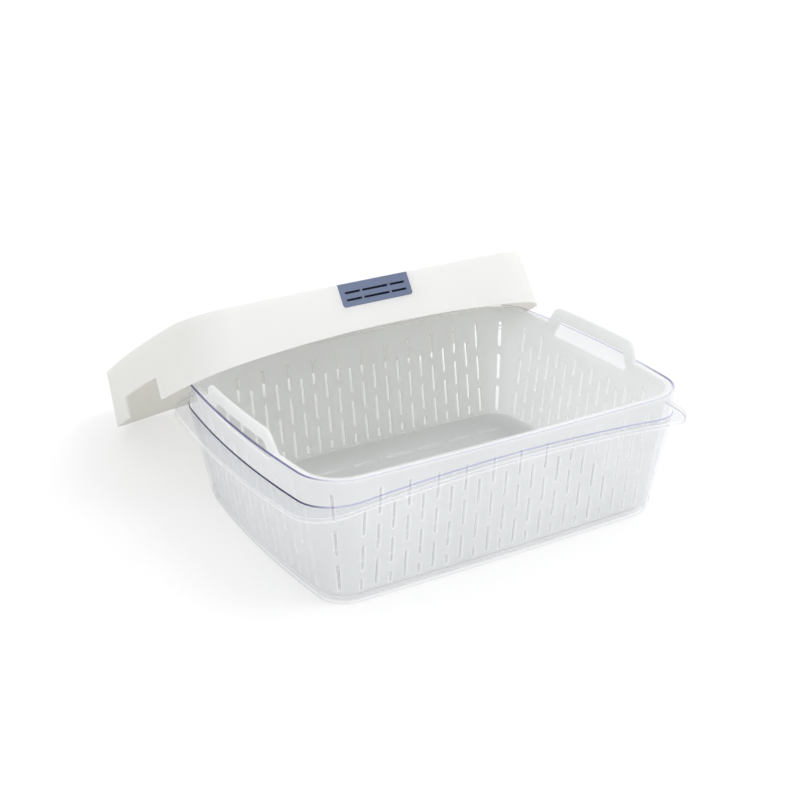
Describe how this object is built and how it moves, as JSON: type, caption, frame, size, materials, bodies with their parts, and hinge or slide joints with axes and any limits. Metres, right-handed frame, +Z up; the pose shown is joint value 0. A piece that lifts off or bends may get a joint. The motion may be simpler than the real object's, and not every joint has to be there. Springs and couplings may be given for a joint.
{
  "type": "food storage container",
  "caption": "Clear produce tub with an arched flange, a slotted drain basket with loop handles, and a domed lid with a slotted vent, leaning behind it.",
  "frame": {"origin": "centre of the tub's base, on the surface that the tub stands on", "axes": "+X along the long side, +Y towards the back, where the lid leans, +Z up"},
  "size_m": [0.351, 0.4304, 0.1655],
  "materials": {
    "clear_plastic": "clear glossy plastic",
    "frosted_plastic": "translucent, satin",
    "white_plastic": "satin",
    "blue_grey_plastic": "satin",
    "filter": "matt"
  },
  "bodies": {
    "tub": {"tub": "clear_plastic"},
    "basket": {"basket": "frosted_plastic"},
    "lid": {"lid": "white_plastic", "vent_grille": "blue_grey_plastic", "vent_filter": "filter"}
  },
  "joints": [
    {"name": "basket_lift", "type": "slide", "parent": "tub", "child": "basket", "axis": [0, 0, 1], "range_m": [0, 0.13]},
    {"name": "lid_lift", "type": "slide", "parent": "basket", "child": "lid", "axis": [-0.0087, 0.4969, 0.8678], "range_m": [0, 0.16]}
  ]
}
